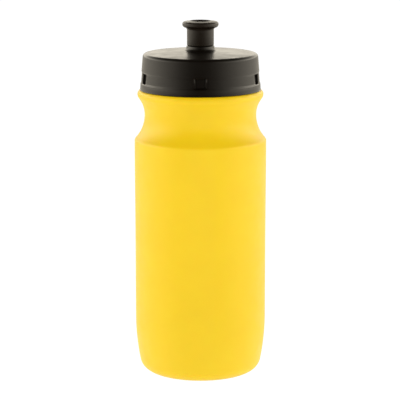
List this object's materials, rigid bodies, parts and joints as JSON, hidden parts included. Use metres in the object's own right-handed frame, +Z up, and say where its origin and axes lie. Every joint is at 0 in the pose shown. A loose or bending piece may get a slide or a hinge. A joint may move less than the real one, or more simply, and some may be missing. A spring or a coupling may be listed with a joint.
{
  "type": "bicycle water bottle",
  "caption": "Round squeezable drinking bottle with a waisted neck, a slotted screw cap and a push-pull nozzle that closes on a central pin.",
  "frame": {"origin": "centre of the ring that the bottle stands on, in the plane of its underside", "axes": "+Z up along the bottle's axis, towards the nozzle; -Y is the side with a cap slot in its middle"},
  "size_m": [0.0746, 0.0746, 0.2017],
  "materials": {
    "bottle_plastic": "soft satin, slightly translucent low-density polyethylene",
    "cap_plastic": "satin black polypropylene",
    "gasket_rubber": "matte silicone rubber",
    "stem_plastic": "smooth black polypropylene",
    "nozzle_plastic": "satin black polyethylene"
  },
  "bodies": {
    "bottle": {"bottle": "bottle_plastic"},
    "gasket": {"cap_gasket": "gasket_rubber"},
    "cap": {"cap": "cap_plastic", "valve_stem": "stem_plastic"},
    "nozzle": {"nozzle": "nozzle_plastic"}
  },
  "joints": [
    {"name": "cap_lift", "type": "slide", "parent": "bottle", "child": "gasket", "axis": [0, 0, 1], "range_m": [0, 0.02]},
    {"name": "cap_turn", "type": "hinge", "parent": "gasket", "child": "cap", "pos_m": [0, 0, 0.163], "axis": [0, 0, 1], "range_deg": [0, 1440]},
    {"name": "nozzle_pull", "type": "slide", "parent": "cap", "child": "nozzle", "axis": [0, 0, 1], "range_m": [0, 0.006]}
  ],
  "couplings": [
    {"joint": "cap_lift", "follows": "cap_turn", "m_per_rad": 0.00079577}
  ]
}
